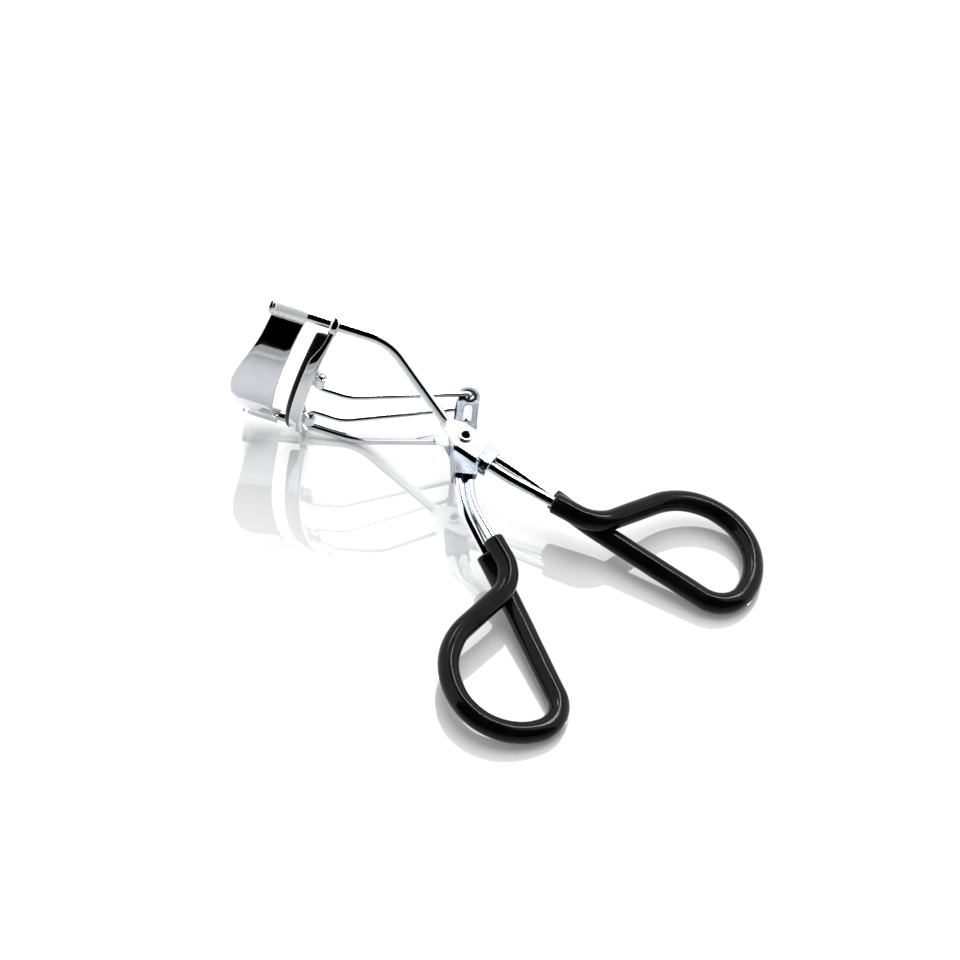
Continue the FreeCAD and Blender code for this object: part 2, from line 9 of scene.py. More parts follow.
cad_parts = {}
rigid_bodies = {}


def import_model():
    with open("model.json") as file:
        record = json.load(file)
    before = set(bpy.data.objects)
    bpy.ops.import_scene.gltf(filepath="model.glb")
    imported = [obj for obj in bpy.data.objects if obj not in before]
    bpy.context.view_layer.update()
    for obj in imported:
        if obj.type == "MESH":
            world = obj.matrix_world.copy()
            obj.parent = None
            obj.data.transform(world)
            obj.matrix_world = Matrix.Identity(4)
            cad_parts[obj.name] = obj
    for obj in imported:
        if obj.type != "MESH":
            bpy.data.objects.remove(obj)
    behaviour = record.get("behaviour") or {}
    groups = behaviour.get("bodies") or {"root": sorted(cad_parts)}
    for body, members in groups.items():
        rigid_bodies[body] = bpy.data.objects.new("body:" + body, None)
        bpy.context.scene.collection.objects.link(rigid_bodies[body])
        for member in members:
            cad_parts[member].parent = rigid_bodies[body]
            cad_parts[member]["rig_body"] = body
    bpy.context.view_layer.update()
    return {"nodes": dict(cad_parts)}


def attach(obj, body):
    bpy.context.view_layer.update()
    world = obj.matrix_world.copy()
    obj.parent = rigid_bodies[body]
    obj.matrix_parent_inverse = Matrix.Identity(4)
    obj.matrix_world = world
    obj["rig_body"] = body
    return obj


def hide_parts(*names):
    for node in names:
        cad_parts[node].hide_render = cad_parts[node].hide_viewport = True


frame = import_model()
random.seed(7)

MM = 0.001

# ---------------------------------------------------------------- driving sizes, in mm

# wire stock, as radii
WIRE = 1.0
GRIP = 2.0
BAIL = 0.5
PAIR_GAP = 0.06

# guide rods, and the stops at their tips
HALF_SPACING = 15.5
ROD_LINE = -5.4
ROD_TIP = 41.4
ROD_BEND = 18.7
ROD_BEND_RADIUS = 9.0
ROD_FOOT = (4.5, -1.6, 3.2)
STOP_DIAMETER = 3.0
STOP_THICKNESS = 0.7

# the curve that both jaws follow, whose edges lean forward toward the middle
ARC_DEPTH = 7.25
ARC_RADIUS = (HALF_SPACING ** 2 + ARC_DEPTH ** 2) / (2 * ARC_DEPTH)
ARC_CENTRE = ROD_LINE + ARC_DEPTH - ARC_RADIUS
EDGE_LEAN = 0.25

# fixed jaw plate, with a sleeve rolled round each rod
PLATE_BACK = 34.05
PLATE_FRONT = 40.45
FRONT_LEAN = 0.23
PLATE_BOW = 2.3
PLATE_BOW_REACH = 13.0
PLATE = 0.6
PLATE_EDGE = 0.26
SLEEVE_WALL = 0.6
SLEEVE_LENGTH = 6.2
SLEEVE_SET_BACK = 0.12
ROLL_RADIUS = WIRE + SLEEVE_WALL / 2
ROLL_START = -74
ROLL_SWEEP = 290

# moving jaw
JAW_GAP = 2.77
PAD_DEPTH = 2.3
PAD_WIDTH = 2.4
PAD_SEAT = 1.1
PAD_REACH = 14.1
PAD_END = 0.35
CHANNEL_DEPTH = 2.2
CHANNEL_WIDTH = 3.2
CHANNEL_REACH = 14.5
CHANNEL_SHEET = 0.5
LIP_FALL = 1.15
LIP_FALL_FROM = 10.0
LIP_FALL_RUN = 4.5
PAD_FRONT = PLATE_BACK - JAW_GAP
CHANNEL_FRONT = PAD_FRONT - (PAD_DEPTH - PAD_SEAT)
CHANNEL_BACK = CHANNEL_FRONT - CHANNEL_DEPTH
EYE_DIAMETER = 4.6
EYE_THICKNESS = 1.7
EYE_CLEARANCE = 0.08
BARREL_DIAMETER = 2.2
BARREL_LENGTH = 2.6
BARREL_CLEARANCE = 0.05
BARREL = (28.5, 0.4, 5.9)

# push bail
LUG = (1.25, -10.05)
BAIL_LUG_HEIGHT = 2.35
BAIL_FRONT_HEIGHT = 3.65
BAIL_STRAIGHT = 6.0
BAIL_TIP = 0.5

# stamped brackets and their rivet
LEAF_TOP = 2.6
RIVET_DIAMETER = 2.1
RIVET_BORE = 1.5
RIVET_HEAD = 2.8
RIVET_HEAD_HEIGHT = 0.5
BRACKET_EDGE = 0.13
LUG_FACE = 1.62
RIB_START = 8.1
RIB_LENGTH = 4.3
RIB_HALF_WIDTH = 0.95
RIB_HEIGHT = 0.5
LUG_RIM_BORE = 0.93
LUG_RIM_RADIUS = 1.45
LUG_RIM_HEIGHT = 0.3

# ferrule at the frame bracket's tail: half widths and half heights at its mouth and its neck
LEAF_END = 4.45
FERRULE_CENTRE = 0.33
FERRULE_WALL = 0.5
FERRULE_START = 3.75
FERRULE_NECK = 5.25
FERRULE_END = 6.55
FERRULE_MOUTH_SIZE = (2.52, 2.42)
FERRULE_NECK_SIZE = (2.32, 1.62)
LEVER_ROOM_START = 4.1
LEVER_ROOM_TOP = 0.3
LEVER_ROOM_SLOPE = 1.074
LEVER_ROOM_HALF_HEIGHT = 2.02
LEVER_ROOM_END = 6.6

# handles, in each one's own plane: along the handle, and outward from it
LEVER_ARM_ANGLE = 105.5
HANDLE_ANGLE = {"fixed": 20.2, "lever": 55.4}
FIXED_PAIR = ((5.95, 0.3), (11.0, 0.4))
LEVER_PAIR = (3.8, 12.6)
LEVER_PAIR_DROP = 0.7
PAIR_BEND = 14.0
LOOP_NECK = 29.3
LOOP_SHOULDER = 38.7
LOOP_END = 58.4
LOOP_LEG = 1.55
LOOP_TOP = 19.4
LOOP_CROSSING = 1.6
LOOP_DROP = {"fixed": 0.0, "lever": 2.9}
LOOP_SAG = 0.03
NECK_RADIUS = 7.0
SHOULDER_RADIUS = 12.0
OUTER_RADIUS = 11.7
INNER_RADIUS = 5.8
LEG_BEND = 36.0
GRIP_START = 20.4
GRIP_STAGGER = {"fixed": -1.0, "lever": 1.6}
GRIP_RIPPLE = 0.022


# ---------------------------------------------------------------- mesh helpers

SHARP_ANGLE = math.radians(38)
END_STEPS = 5


def settle(name, mesh, body, slot_name, nodes):
    """Shades a mesh, links it, sets the body it rides on, and hides the CAD nodes it stands in for.
    """
    mesh.polygons.foreach_set("use_smooth", [True] * len(mesh.polygons))
    mesh.set_sharp_from_angle(angle=SHARP_ANGLE)
    obj = bpy.data.objects.new(name, mesh)
    bpy.context.scene.collection.objects.link(obj)
    mesh.materials.append(MATERIALS[slot_name])
    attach(obj, body)
    for node in nodes:
        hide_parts(node)
    return obj


def skin(name, rows, body, slot_name, nodes, closed=False, capped=True):
    """A surface through a run of closed rings with the same number of points, in mm."""
    bm = bmesh.new()
    rings = [[bm.verts.new(Vector(p) * MM) for p in row] for row in rows]
    count = len(rings[0])
    runs = len(rings) if closed else len(rings) - 1
    for i in range(runs):
        here, after = rings[i], rings[(i + 1) % len(rings)]
        for j in range(count):
            k = (j + 1) % count
            bm.faces.new((here[j], here[k], after[k], after[j]))
    if capped and not closed:
        bm.faces.new(list(reversed(rings[0])))
        bm.faces.new(rings[-1])
    bmesh.ops.recalc_face_normals(bm, faces=bm.faces)
    mesh = bpy.data.meshes.new(name)
    bm.to_mesh(mesh)
    bm.free()
    return settle(name, mesh, body, slot_name, nodes)


def along_arc(start, end, share):
    """A point on the arc from start to end about the origin."""
    turn = start.angle(end)
    return (start * math.sin((1 - share) * turn) + end * math.sin(share * turn)) / math.sin(turn)


def corner_arc(last, here, after, radius):
    """An arc's centre, and its start and end from there, where it rounds a corner."""
    to_last = (last - here).normalized()
    to_next = (after - here).normalized()
    half = to_last.angle(to_next) / 2
    reach = radius / math.tan(half)
    centre = here + (to_last + to_next).normalized() * (radius / math.sin(half))
    return centre, here + to_last * reach - centre, here + to_next * reach - centre


def bent(corners, step):
    """Straight runs joined by tangent arcs. A corner is (point, bend radius); step is in degrees."""
    points = [corners[0][0]]
    for (last, _), (here, radius), (after, _) in zip(corners, corners[1:], corners[2:]):
        centre, start, end = corner_arc(last, here, after, radius)
        count = max(3, int(math.degrees(start.angle(end)) / step) + 1)
        points += [centre + along_arc(start, end, k / count) for k in range(count + 1)]
    points.append(corners[-1][0])
    return points


def rounded(corners, steps=5):
    """A closed outline in two dimensions whose corners (x, y, radius) are rounded."""
    out = []
    for i, (x, y, radius) in enumerate(corners):
        if radius <= 0:
            out.append((x, y))
            continue
        last, after = corners[i - 1], corners[(i + 1) % len(corners)]
        centre, start, end = corner_arc(Vector(last[:2]), Vector((x, y)), Vector(after[:2]), radius)
        for k in range(steps + 1):
            out.append(tuple(centre + along_arc(start, end, k / steps)))
    return out


def spaced(points, gap):
    """The same line with points no further apart than gap."""
    out = [points[0]]
    for a, b in zip(points, points[1:]):
        count = max(1, int(math.ceil((b - a).length / gap)))
        out += [a + (b - a) * (k / count) for k in range(1, count + 1)]
    return out


def frames(points):
    """A tangent and two side directions at every point, carried along without twist."""
    tangents = []
    for i in range(len(points)):
        before, after = points[max(0, i - 1)], points[min(len(points) - 1, i + 1)]
        tangents.append((after - before).normalized())
    side = tangents[0].orthogonal().normalized()
    out = []
    for tangent in tangents:
        side = (side - tangent * side.dot(tangent)).normalized()
        out.append((tangent, side, tangent.cross(side)))
    return out


def end_rings(radius, rim, bore):
    """Rings that round a tube's end, as (distance past the end, radius), from the middle outwards."""
    quarter = [math.pi / 2 * k / END_STEPS for k in range(END_STEPS)]
    if not bore:
        core = max(radius - rim, 0.02)
        return [(rim * math.cos(a), core + rim * math.sin(a)) for a in quarter]
    middle, half = (radius + bore) / 2, (radius - bore) / 2
    lip = [(rim * math.sin(a), middle - half * math.cos(a)) for a in quarter]
    return lip + [(rim * math.cos(a), middle + half * math.sin(a)) for a in quarter]


def tube(name, points, radius, body, slot_name, nodes, ring=28, rim=0.2, bore=0.0, ripple=0.0):
    """A round bar along a line, with rounded ends. A bore makes it a sleeve with rounded lips, and
    ripple is the depth of the slow waves in its surface."""
    trimmed = list(points)
    trimmed[0] = points[0] + (points[1] - points[0]).normalized() * rim
    trimmed[-1] = points[-1] + (points[-2] - points[-1]).normalized() * rim
    line = frames(trimmed)
    phases = [random.uniform(0, 6.28) for _ in range(6)]

    def circle(spot, axes, r, along=0.0, wave=0.0):
        row = []
        for j in range(ring):
            angle = 2 * math.pi * j / ring
            out = r
            if wave:
                out -= wave * (0.5 + 0.5 * math.sin(2 * angle + along * 0.9 + phases[0]))
                out -= wave * (0.5 + 0.5 * math.sin(angle + along * 0.35 + phases[1]))
            row.append(spot + (axes[1] * math.cos(angle) + axes[2] * math.sin(angle)) * out)
        return row

    ends = end_rings(radius, rim, bore)
    rows = [circle(trimmed[0] - line[0][0] * past, line[0], r) for past, r in ends]
    along = 0.0
    total = sum((b - a).length for a, b in zip(trimmed, trimmed[1:]))
    for i, (spot, axes) in enumerate(zip(trimmed, line)):
        if i:
            along += (spot - trimmed[i - 1]).length
        fade = min(1.0, along / 2.0, (total - along) / 2.0)
        rows.append(circle(spot, axes, radius, along, ripple * fade))
    rows += [circle(trimmed[-1] + line[-1][0] * past, line[-1], r) for past, r in reversed(ends)]
    return skin(name, rows, body, slot_name, nodes, capped=not bore)


def lathe(name, profile, origin, axis, body, slot_name, nodes, start=0.0, sweep=360.0, count=48):
    """A closed profile of (radius, height) turned round an axis. Less than a full turn leaves a
    seam, and its two ends are capped."""
    turn = Vector(axis).to_track_quat("Z", "Y")
    full = sweep >= 360.0
    rows = []
    for i in range(count if full else count + 1):
        angle = math.radians(start + sweep * i / count)
        rows.append([Vector(origin) + turn @ Vector((r * math.cos(angle), r * math.sin(angle), h))
                     for r, h in profile])
    return skin(name, rows, body, slot_name, nodes, closed=full)


def eased(share):
    """A smooth step from 0 to 1."""
    return share * share * (3 - 2 * share)


# ---------------------------------------------------------------- materials

def shader(name):
    mat = bpy.data.materials.new(name)
    mat.use_nodes = True
    nodes, links = mat.node_tree.nodes, mat.node_tree.links
    return mat, nodes, links, nodes["Principled BSDF"]


def noise(nodes, links, scale, detail, stretch=(1, 1, 1)):
    """Noise in object space. Scale is in cycles per mm."""
    place = nodes.new("ShaderNodeTexCoord")
    spread = nodes.new("ShaderNodeMapping")
    spread.inputs["Scale"].default_value = [s * scale / MM for s in stretch]
    links.new(place.outputs["Object"], spread.inputs["Vector"])
    tex = nodes.new("ShaderNodeTexNoise")
    tex.inputs["Scale"].default_value = 1.0
    tex.inputs["Detail"].default_value = detail
    links.new(spread.outputs["Vector"], tex.inputs["Vector"])
    return tex.outputs["Fac"]


def ranged(nodes, links, source, low, high, out_low, out_high):
    span = nodes.new("ShaderNodeMapRange")
    span.inputs["From Min"].default_value = low
    span.inputs["From Max"].default_value = high
    span.inputs["To Min"].default_value = out_low
    span.inputs["To Max"].default_value = out_high
    links.new(source, span.inputs["Value"])
    return span.outputs["Result"]


def blended(nodes, links, share, first, second):
    """A mix of two colours. The node's colour sockets have numbers, because their names repeat."""
    mix = nodes.new("ShaderNodeMix")
    mix.data_type = "RGBA"
    mix.inputs[6].default_value = (*first, 1)
    mix.inputs[7].default_value = (*second, 1)
    links.new(share, mix.inputs[0])
    return mix.outputs[2]


def bumped(nodes, links, height, strength, distance, before=None):
    bump = nodes.new("ShaderNodeBump")
    bump.inputs["Strength"].default_value = strength
    bump.inputs["Distance"].default_value = distance * MM
    links.new(height, bump.inputs["Height"])
    if before is not None:
        links.new(before, bump.inputs["Normal"])
    return bump.outputs["Normal"]


def plated(name, tone, smooth, dull, wave, metallic=1.0):
    """Bright plating over steel: faint polishing waves, hairline scuffs and duller worn patches."""
    mat, nodes, links, b = shader(name)
    b.inputs["Metallic"].default_value = metallic
    cloud = noise(nodes, links, 0.35, 4.0)
    scuff = noise(nodes, links, 2.2, 6.0, (0.25, 1, 1))
    handled = ranged(nodes, links, cloud, 0.42, 0.68, 0.0, 1.0)
    colour = blended(nodes, links, handled, tone, [c * 0.93 for c in tone])
    links.new(colour, b.inputs["Base Color"])
    total = nodes.new("ShaderNodeMath")
    total.operation = "ADD"
    links.new(ranged(nodes, links, cloud, 0.35, 0.7, smooth, dull), total.inputs[0])
    links.new(ranged(nodes, links, scuff, 0.55, 0.75, 0.0, 0.05), total.inputs[1])
    links.new(total.outputs[0], b.inputs["Roughness"])
    ripple = bumped(nodes, links, noise(nodes, links, 0.5, 1.0), 0.25, wave)
    links.new(bumped(nodes, links, scuff, 0.05, 0.01, ripple), b.inputs["Normal"])
    return mat


def sleeve_vinyl():
    """Dipped black vinyl: glossy, slightly uneven, with rubbed patches."""
    mat, nodes, links, b = shader("grip_vinyl")
    cloud = noise(nodes, links, 0.22, 4.0)
    grain = noise(nodes, links, 3.0, 5.0)
    rubbed = ranged(nodes, links, cloud, 0.45, 0.7, 0.0, 1.0)
    colour = blended(nodes, links, rubbed, (0.0012, 0.0011, 0.0013), (0.0032, 0.003, 0.0032))
    links.new(colour, b.inputs["Base Color"])
    links.new(ranged(nodes, links, cloud, 0.35, 0.72, 0.09, 0.2), b.inputs["Roughness"])
    b.inputs["Specular IOR Level"].default_value = 0.16
    wave = bumped(nodes, links, cloud, 0.2, 0.3)
    links.new(bumped(nodes, links, grain, 0.03, 0.015, wave), b.inputs["Normal"])
    return mat


def pad_silicone():
    """Matt black silicone with a faint moulded grain, paler with dust in places."""
    mat, nodes, links, b = shader("silicone")
    grain = noise(nodes, links, 4.0, 6.0)
    cloud = noise(nodes, links, 0.5, 3.0)
    dusty = ranged(nodes, links, cloud, 0.5, 0.75, 0.0, 1.0)
    colour = blended(nodes, links, dusty, (0.0015, 0.0015, 0.0015), (0.004, 0.004, 0.004))
    links.new(colour, b.inputs["Base Color"])
    links.new(ranged(nodes, links, grain, 0.3, 0.7, 0.3, 0.46), b.inputs["Roughness"])
    b.inputs["Specular IOR Level"].default_value = 0.1
    links.new(bumped(nodes, links, grain, 0.2, 0.03), b.inputs["Normal"])
    return mat


MATERIALS = {
    "plated_steel": plated("plated_steel", (0.73, 0.755, 0.79), 0.03, 0.09, 0.02),
    # painted shade: a darkened plating tone for the lever bracket, standing in for the grey its
    # leaves show in reflection; the satin roughness is its finish
    "satin_painted_shade_steel": plated("satin_painted_shade_steel", (0.168, 0.19, 0.217), 0.09, 0.17, 0.04),
    "brushed_steel": plated("brushed_steel", (0.8, 0.82, 0.84), 0.2, 0.32, 0.03, 0.5),
    # painted shade: a near-black steel for the rivet's bore and the lug rims, standing in for the
    # shade in those hollows
    "painted_shade_steel": plated("painted_shade_steel", (0.03, 0.03, 0.032), 0.45, 0.7, 0.02),
    "grip_vinyl": sleeve_vinyl(),
    "silicone": pad_silicone(),
}


# ---------------------------------------------------------------- handles with finger loops

def handle_point(side, along, outward, height=0.0):
    angle = math.radians(HANDLE_ANGLE[side])
    flip = -1.0 if side == "fixed" else 1.0
    x = -along * math.cos(angle) + flip * outward * math.sin(angle)
    y = along * math.sin(angle) + flip * outward * math.cos(angle)
    return Vector((x, y, height))


def loop_point(side, along, outward, lift=0.0):
    spot = handle_point(side, along, outward)
    spot.z = lift - LOOP_DROP[side] - LOOP_SAG * spot.y
    return spot


def arm_point(along):
    angle = math.radians(LEVER_ARM_ANGLE)
    return Vector((math.cos(angle), math.sin(angle), 0)) * along


def pair_starts(side):
    """Where the pair of wires leaves its bracket, and where it bends toward the loop."""
    if side == "fixed":
        return [handle_point("fixed", along, outward) for along, outward in FIXED_PAIR]
    first, second = [arm_point(along) for along in LEVER_PAIR]
    return [first, second - Vector((0, 0, LEVER_PAIR_DROP))]


def side_step(first, second, side):
    """From the pair's middle line to its outward wire."""
    direction = (second - first).normalized()
    across = Vector((-direction.y, direction.x, 0))
    if across.dot(handle_point(side, 0, 1)) < 0:
        across = -across
    return across * (WIRE + PAIR_GAP / 2)


def loop_corners(side):
    """The wire's corners. Its curved leg comes first, and crosses over its straight leg."""
    first, second = pair_starts(side)
    step_first = side_step(first, second, side)
    over = loop_point(side, LOOP_NECK, LOOP_LEG - 1.1, LOOP_CROSSING)
    under = loop_point(side, LOOP_NECK, LOOP_LEG + 0.4, -LOOP_CROSSING)
    step_second = (step_first + side_step(second, under, side)) * 0.5
    return [(first - step_first, 0), (second - step_second, PAIR_BEND), (over, NECK_RADIUS),
            (loop_point(side, LOOP_SHOULDER, LOOP_TOP), SHOULDER_RADIUS),
            (loop_point(side, LOOP_END, LOOP_TOP), OUTER_RADIUS),
            (loop_point(side, LOOP_END, LOOP_LEG), INNER_RADIUS), (under, LEG_BEND),
            (second + step_second, PAIR_BEND), (first + step_first, 0)]


def between(a, b, side, along):
    """The point between a and b that lies this far along the handle."""
    back = handle_point(side, -1, 0)
    share = (along + a.dot(back)) / (a.dot(back) - b.dot(back))
    return a + (b - a) * share


for side, body in (("fixed", "frame"), ("lever", "lever")):
    corners = loop_corners(side)
    wire = spaced(bent(corners, 5.0), 1.6)
    tube(f"{side}_loop_wire_bar", wire, WIRE, body, "plated_steel", [f"{side}_loop_wire"], rim=0.25)
    start = between(corners[1][0], corners[2][0], side, GRIP_START)
    end = between(corners[7][0], corners[6][0], side, GRIP_START + GRIP_STAGGER[side])
    sleeve = spaced(bent([(start, 0)] + corners[2:7] + [(end, 0)], 4.0), 1.0)
    tube(f"{side}_loop_sleeve", sleeve, GRIP, body, "grip_vinyl", [f"{side}_loop_grip"],
         ring=36, rim=0.35, bore=WIRE + 0.02, ripple=GRIP_RIPPLE)


# ---------------------------------------------------------------- guide rods and their stops

def washer(inner, outer, thick, inner_edge, outer_edge):
    """A ring's section for lathe, with the edges of its bore and its rim rounded."""
    return rounded([(inner, 0, inner_edge), (outer, 0, outer_edge), (outer, thick, outer_edge),
                    (inner, thick, inner_edge)])


for sign, end in ((1, "upper"), (-1, "lower")):
    corners = [(Vector((ROD_TIP, ROD_LINE, sign * HALF_SPACING)), 0),
               (Vector((ROD_BEND, ROD_LINE, sign * HALF_SPACING)), ROD_BEND_RADIUS),
               (Vector((ROD_FOOT[0], ROD_FOOT[1], sign * ROD_FOOT[2])), 0)]
    tube(f"{end}_guide_rod_bar", spaced(bent(corners, 4.0), 1.5), WIRE, "frame", "plated_steel",
         [f"{end}_guide_rod"], ring=36, rim=0.18)
    lathe(f"{end}_rod_stop_collar", washer(WIRE, STOP_DIAMETER / 2, STOP_THICKNESS, 0.05, 0.2),
          (ROD_TIP - STOP_THICKNESS, ROD_LINE, sign * HALF_SPACING), (1, 0, 0),
          "frame", "plated_steel", [f"{end}_rod_stop"], count=40)


# ---------------------------------------------------------------- jaws

def arc_spot(angle, offset=0.0):
    """A place on the jaws' arc: (y, z), with an offset away from the arc's centre."""
    r = ARC_RADIUS + offset
    return ARC_CENTRE + r * math.cos(angle), r * math.sin(angle)


def section_rows(outline, reach, count, lip_fall=0.0):
    """Rings along the arc. The outline is (offset from the arc, distance along X at the rods), and
    lip_fall is how far the channel's lips fall back at its two ends."""
    turn = math.asin(reach / ARC_RADIUS)
    rows = []
    for i in range(count + 1):
        angle = turn * (2 * i / count - 1)
        away = (abs(angle) * ARC_RADIUS - LIP_FALL_FROM) / LIP_FALL_RUN
        fall = lip_fall * eased(min(1.0, max(0.0, away)))
        row = []
        for offset, along in outline:
            y, z = arc_spot(angle, offset)
            along -= fall * max(0.0, (along - CHANNEL_BACK) / CHANNEL_DEPTH)
            row.append((along + EDGE_LEAN * (y - ROD_LINE), y, z))
        rows.append(row)
    return rows


def front_edge(z):
    """How far forward the plate reaches at a place across the jaw: most at its middle."""
    share = min(1.0, abs(z) / PLATE_BOW_REACH)
    across = min(abs(z), HALF_SPACING)
    height = ARC_CENTRE + math.sqrt(ARC_RADIUS ** 2 - across ** 2) - ROD_LINE
    return PLATE_FRONT + FRONT_LEAN * height + PLATE_BOW * (0.5 + 0.5 * math.cos(math.pi * share))


def plate_line():
    """The sheet's line across the jaw, as (y, z, rolled): one roll, the arc, the other roll."""
    full = math.asin(HALF_SPACING / ARC_RADIUS)
    joint = full - ROLL_RADIUS / ARC_RADIUS
    roll = []
    for k in range(1, 31):
        turn = full + math.radians(ROLL_START + ROLL_SWEEP * k / 30)
        roll.append((ROD_LINE + ROLL_RADIUS * math.cos(turn),
                     HALF_SPACING + ROLL_RADIUS * math.sin(turn), True))
    run = [(*arc_spot(joint * (2 * i / 80 - 1)), False) for i in range(81)]
    return [(y, -z, True) for y, z, _ in reversed(roll)] + run + roll


def sheet_section(back, front):
    """The plate's section from back to front and back again, with rounded edges: (x, offset)."""
    half, flat = PLATE / 2, front - back - 2 * PLATE_EDGE
    turns = [math.pi * k / 8 for k in range(9)]
    shares = [k / 8 for k in range(1, 8)]
    section = [(back + PLATE_EDGE * (1 - math.sin(a)), -half * math.cos(a)) for a in turns]
    section += [(back + PLATE_EDGE + flat * s, half) for s in shares]
    section += [(front - PLATE_EDGE * (1 - math.sin(a)), half * math.cos(a)) for a in turns]
    return section + [(front - PLATE_EDGE - flat * s, -half) for s in shares]


def plate_rows():
    line = plate_line()
    sleeve_back = PLATE_BACK + SLEEVE_SET_BACK
    rows = []
    for i, (y, z, rolled) in enumerate(line):
        before, after = line[max(0, i - 1)], line[min(len(line) - 1, i + 1)]
        way = Vector((after[0] - before[0], after[1] - before[1])).normalized()
        if rolled:
            section = sheet_section(sleeve_back, PLATE_BACK + 0.1 + SLEEVE_LENGTH)
        else:
            lean = EDGE_LEAN * (y - ROD_LINE)
            section = sheet_section(max(PLATE_BACK + lean, sleeve_back), front_edge(z))
        rows.append([(x, y + way.y * offset, z - way.x * offset) for x, offset in section])
    return rows


plate = skin("fixed_jaw_plate_sheet", plate_rows(), "frame", "plated_steel", ["fixed_jaw_plate"])
plate.data.materials.append(MATERIALS["brushed_steel"])
for face in plate.data.polygons:
    away = Vector((face.center.y / MM - ROD_LINE, abs(face.center.z) / MM - HALF_SPACING))
    if away.length < WIRE + SLEEVE_WALL + 0.06:
        face.material_index = 1

half_channel = CHANNEL_WIDTH / 2
half_hollow = half_channel - CHANNEL_SHEET
hollow_back = CHANNEL_BACK + CHANNEL_SHEET
channel_outline = rounded([
    (-half_channel, CHANNEL_FRONT, 0.22), (-half_channel, CHANNEL_BACK, 0.75),
    (half_channel, CHANNEL_BACK, 0.75), (half_channel, CHANNEL_FRONT, 0.22),
    (half_hollow, CHANNEL_FRONT, 0.22), (half_hollow, hollow_back, 0.4),
    (-half_hollow, hollow_back, 0.4), (-half_hollow, CHANNEL_FRONT, 0.22)])
skin("jaw_channel_sheet", section_rows(channel_outline, CHANNEL_REACH, 72, LIP_FALL),
     "moving_jaw", "plated_steel", ["jaw_channel"])


def shrunk(row, share, shift):
    middle = sum((Vector(v) for v in row), Vector()) / len(row)
    return [middle + (Vector(v) - middle) * share + shift for v in row]


def domed_end(edge, inner):
    """A strip's last ring set back, and the rings that round its end off beyond it."""
    inward = (Vector(inner[0]) - Vector(edge[0])).normalized() * PAD_END
    turns = [math.radians(a) for a in (0, 20, 40, 60, 75)]
    return [shrunk(edge, math.cos(a), inward * (1 - math.sin(a))) for a in turns]


half_pad = PAD_WIDTH / 2
pad_outline = rounded([(-half_pad, CHANNEL_FRONT - PAD_SEAT, 0.2),
                       (half_pad, CHANNEL_FRONT - PAD_SEAT, 0.2), (half_pad, PAD_FRONT, 0.95),
                       (-half_pad, PAD_FRONT, 0.95)], steps=8)
pad_rows = section_rows(pad_outline, PAD_REACH, 72)
pad_rows = (domed_end(pad_rows[0], pad_rows[1])[::-1] + pad_rows[1:-1]
            + domed_end(pad_rows[-1], pad_rows[-2]))
skin("silicone_pad_strip", pad_rows, "moving_jaw", "silicone", ["silicone_pad"])

eye_centre = CHANNEL_BACK + CHANNEL_DEPTH / 2
for sign, end in ((1, "upper"), (-1, "lower")):
    lathe(f"{end}_guide_eye_ring",
          washer(WIRE + EYE_CLEARANCE, EYE_DIAMETER / 2, EYE_THICKNESS, 0.3, 0.6),
          (eye_centre - EYE_THICKNESS / 2, ROD_LINE, sign * HALF_SPACING), (1, 0, 0),
          "moving_jaw", "plated_steel", [f"{end}_guide_eye"], count=56)
    lathe(f"{end}_bail_barrel_roll",
          washer(BAIL + BARREL_CLEARANCE, BARREL_DIAMETER / 2, BARREL_LENGTH, 0.16, 0.2),
          (BARREL[0], BARREL[1], sign * BARREL[2] - BARREL_LENGTH / 2), (0, 0, 1),
          "moving_jaw", "plated_steel", [f"{end}_bail_barrel"], start=20, sweep=348, count=44)


# ---------------------------------------------------------------- push bail

barrel_x, barrel_y, barrel_z = BARREL
one_side = [(Vector((barrel_x, barrel_y, barrel_z + BARREL_LENGTH / 2 + BAIL_TIP)), 0),
            (Vector((barrel_x, barrel_y, BAIL_FRONT_HEIGHT)), 0.8),
            (Vector((barrel_x - BAIL_STRAIGHT, barrel_y, BAIL_FRONT_HEIGHT)), 7.0),
            (Vector((*LUG, BAIL_LUG_HEIGHT)), 0.7)]
other_side = [(Vector((q.x, q.y, -q.z)), radius) for q, radius in reversed(one_side)]
tube("push_bail_wire", spaced(bent(one_side + other_side, 8.0), 1.2), BAIL, "bail", "plated_steel",
     ["push_bail"], ring=20, rim=0.12)


# ---------------------------------------------------------------- rivet and brackets

top = LEAF_TOP + RIVET_HEAD_HEIGHT
head, bore, shank = RIVET_HEAD / 2, RIVET_BORE / 2, RIVET_DIAMETER / 2
outline = rounded([
    (bore, -top, 0.28), (head, -top, 0.28), (head, -LEAF_TOP, 0.12), (shank, -LEAF_TOP, 0),
    (shank, LEAF_TOP, 0), (head, LEAF_TOP, 0.12), (head, top, 0.28), (bore, top, 0.28)])
rivet = lathe("pivot_rivet_tube", outline, (0, 0, 0), (0, 0, 1), "frame", "plated_steel",
              ["pivot_rivet"], count=56)
# painted shade: the faces inside the bore get the near-black steel, standing in for the shade down
# the hole
rivet.data.materials.append(MATERIALS["painted_shade_steel"])
for face in rivet.data.polygons:
    if face.center.xy.length < (bore + 0.08) * MM and abs(face.center.z) < (top - 0.2) * MM:
        face.material_index = 1


